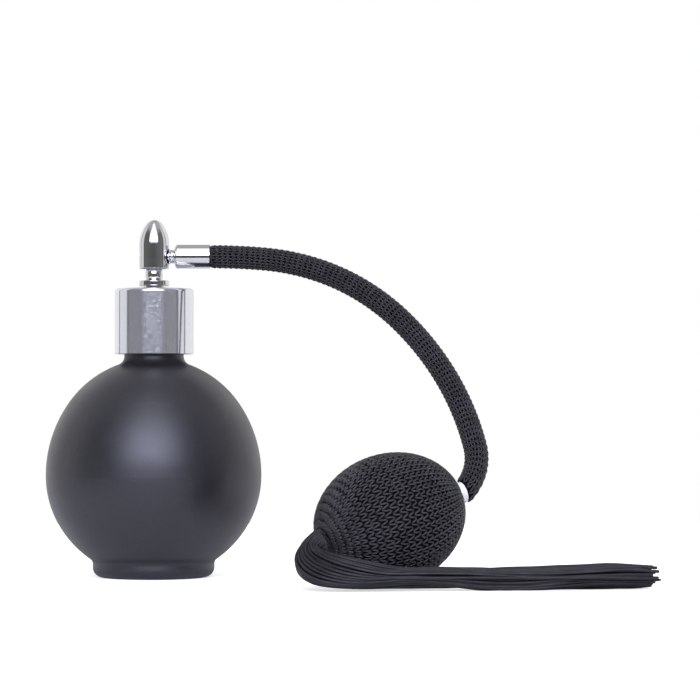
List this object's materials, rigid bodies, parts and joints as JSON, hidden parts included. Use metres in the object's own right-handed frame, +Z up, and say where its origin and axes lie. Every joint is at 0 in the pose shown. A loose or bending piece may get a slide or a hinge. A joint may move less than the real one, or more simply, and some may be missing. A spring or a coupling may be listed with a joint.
{
  "type": "perfume bottle",
  "caption": "Round black glass perfume bottle with a screw collar, swivelling spray head, knit-covered hose, netted squeeze bulb and tassel.",
  "frame": {"origin": "centre of the bottle's foot, on the plane it stands on", "axes": "+Z up along the bottle's axis; +X the way the hose leaves the spray head; -Y the way the bulb and tassel lie from the bottle"},
  "size_m": [0.1832, 0.1111, 0.1128],
  "materials": {
    "black_glass": "satin lacquered",
    "gasket": "matte",
    "white_plastic": "moulded",
    "clear_tube": "clear extruded",
    "chrome": "polished",
    "brass": "turned",
    "black_rubber": "moulded",
    "black_knit": "knitted yarn",
    "milky_plastic": "moulded, faintly clear",
    "steel_ball": "ground",
    "black_silk": "silky cord"
  },
  "bodies": {
    "bottle": {"glass_bottle": "black_glass"},
    "core": {"stem_base": "white_plastic", "neck_gasket": "gasket", "dip_tube": "clear_tube", "stem_disc": "chrome", "stem_sleeve": "chrome"},
    "collar": {"collar_shell": "chrome", "collar_insert": "white_plastic"},
    "head": {"nozzle_head": "chrome", "head_core": "white_plastic", "orifice_insert": "brass", "inlet_barb": "chrome", "hose_ferrule": "chrome", "hose_tube_1": "black_rubber", "hose_braid_1": "black_knit"},
    "hose_2": {"hose_tube_2": "black_rubber", "hose_braid_2": "black_knit"},
    "hose_3": {"hose_tube_3": "black_rubber", "hose_braid_3": "black_knit"},
    "hose_4": {"hose_tube_4": "black_rubber", "hose_braid_4": "black_knit"},
    "hose_5": {"hose_tube_5": "black_rubber", "hose_braid_5": "black_knit"},
    "hose_6": {"hose_tube_6": "black_rubber", "hose_braid_6": "black_knit"},
    "hose_7": {"hose_tube_7": "black_rubber", "hose_braid_7": "black_knit"},
    "bulb": {"hose_tube_8": "black_rubber", "hose_braid_8": "black_knit", "bulb_connector": "milky_plastic", "outlet_valve_seat": "white_plastic", "squeeze_bulb": "black_rubber", "bulb_net": "black_knit"},
    "outlet_ball": {"outlet_valve_ball": "steel_ball"},
    "bulb_tail": {"intake_valve_body": "white_plastic", "intake_valve_retainer": "white_plastic", "tassel_head": "black_knit"},
    "intake_ball": {"intake_valve_ball": "steel_ball"},
    "tassel_top": {"tassel_neck": "black_silk"},
    "tassel": {"tassel_skirt": "black_silk"}
  },
  "joints": [
    {"name": "core_lift", "type": "slide", "parent": "bottle", "child": "core", "axis": [0, 0, 1], "range_m": [0, 0.0064]},
    {"name": "collar_turn", "type": "hinge", "parent": "core", "child": "collar", "pos_m": [0, 0, 0.0704], "axis": [0, 0, 1], "range_deg": [0, 720]},
    {"name": "head_swivel", "type": "hinge", "parent": "core", "child": "head", "pos_m": [0, 0, 0.1012], "axis": [0, 0, 1], "continuous": true},
    {"name": "hose_bend_1", "type": "hinge", "parent": "head", "child": "hose_2", "pos_m": [0.03432, -0.00038, 0.10049], "axis": [0, 0.8788, -0.4772], "range_deg": [-18, 0]},
    {"name": "hose_bend_2", "type": "hinge", "parent": "hose_2", "child": "hose_3", "pos_m": [0.05062, -0.00214, 0.09725], "axis": [0, 0.8788, -0.4772], "range_deg": [-18, 0]},
    {"name": "hose_bend_3", "type": "hinge", "parent": "hose_3", "child": "hose_4", "pos_m": [0.06543, -0.00582, 0.09048], "axis": [0, 0.8788, -0.4772], "range_deg": [-18, 0]},
    {"name": "hose_bend_4", "type": "hinge", "parent": "hose_4", "child": "hose_5", "pos_m": [0.0779, -0.01113, 0.0807], "axis": [0, 0.8788, -0.4772], "range_deg": [-18, 0]},
    {"name": "hose_bend_5", "type": "hinge", "parent": "hose_5", "child": "hose_6", "pos_m": [0.08785, -0.01755, 0.06888], "axis": [0, 0.8788, -0.4772], "range_deg": [-18, 0]},
    {"name": "hose_bend_6", "type": "hinge", "parent": "hose_6", "child": "hose_7", "pos_m": [0.09532, -0.02469, 0.05572], "axis": [0, 0.8788, -0.4772], "range_deg": [-18, 0]},
    {"name": "hose_bend_7", "type": "hinge", "parent": "hose_7", "child": "bulb", "pos_m": [0.10007, -0.03235, 0.04163], "axis": [0, 0.8788, -0.4772], "range_deg": [-18, 0]},
    {"name": "bulb_squeeze", "type": "slide", "parent": "bulb", "child": "bulb_tail", "axis": [0.8666, 0.395, 0.3049], "range_m": [0, 0.014], "deforming": ["squeeze_bulb", "bulb_net"]},
    {"name": "outlet_ball_travel", "type": "slide", "parent": "bulb", "child": "outlet_ball", "axis": [0.8666, 0.395, 0.3049], "range_m": [0, 0.0009]},
    {"name": "intake_ball_travel", "type": "slide", "parent": "bulb_tail", "child": "intake_ball", "axis": [0.8666, 0.395, 0.3049], "range_m": [0, 0.0008]},
    {"name": "tassel_swing", "type": "hinge", "parent": "bulb_tail", "child": "tassel_top", "pos_m": [0.0513, -0.0602, 0.01213], "axis": [0.1839, 0.84, -0.5105], "range_deg": [0, 109.76], "deforming": ["tassel_neck"]},
    {"name": "tassel_fold", "type": "hinge", "parent": "tassel_top", "child": "tassel", "pos_m": [0.05676, -0.07192, 0.0036], "axis": [0.1839, 0.84, -0.5105], "range_deg": [0, 109.76]}
  ],
  "couplings": [
    {"joint": "core_lift", "follows": "collar_turn", "m_per_rad": 0.00050532},
    {"joint": "hose_bend_1", "follows": "hose_bend_7", "ratio": 1},
    {"joint": "hose_bend_2", "follows": "hose_bend_7", "ratio": 1},
    {"joint": "hose_bend_3", "follows": "hose_bend_7", "ratio": 1},
    {"joint": "hose_bend_4", "follows": "hose_bend_7", "ratio": 1},
    {"joint": "hose_bend_5", "follows": "hose_bend_7", "ratio": 1},
    {"joint": "hose_bend_6", "follows": "hose_bend_7", "ratio": 1},
    {"joint": "tassel_swing", "follows": "hose_bend_7", "ratio": -6.0971},
    {"joint": "tassel_fold", "follows": "hose_bend_7", "ratio": -6.0971}
  ]
}
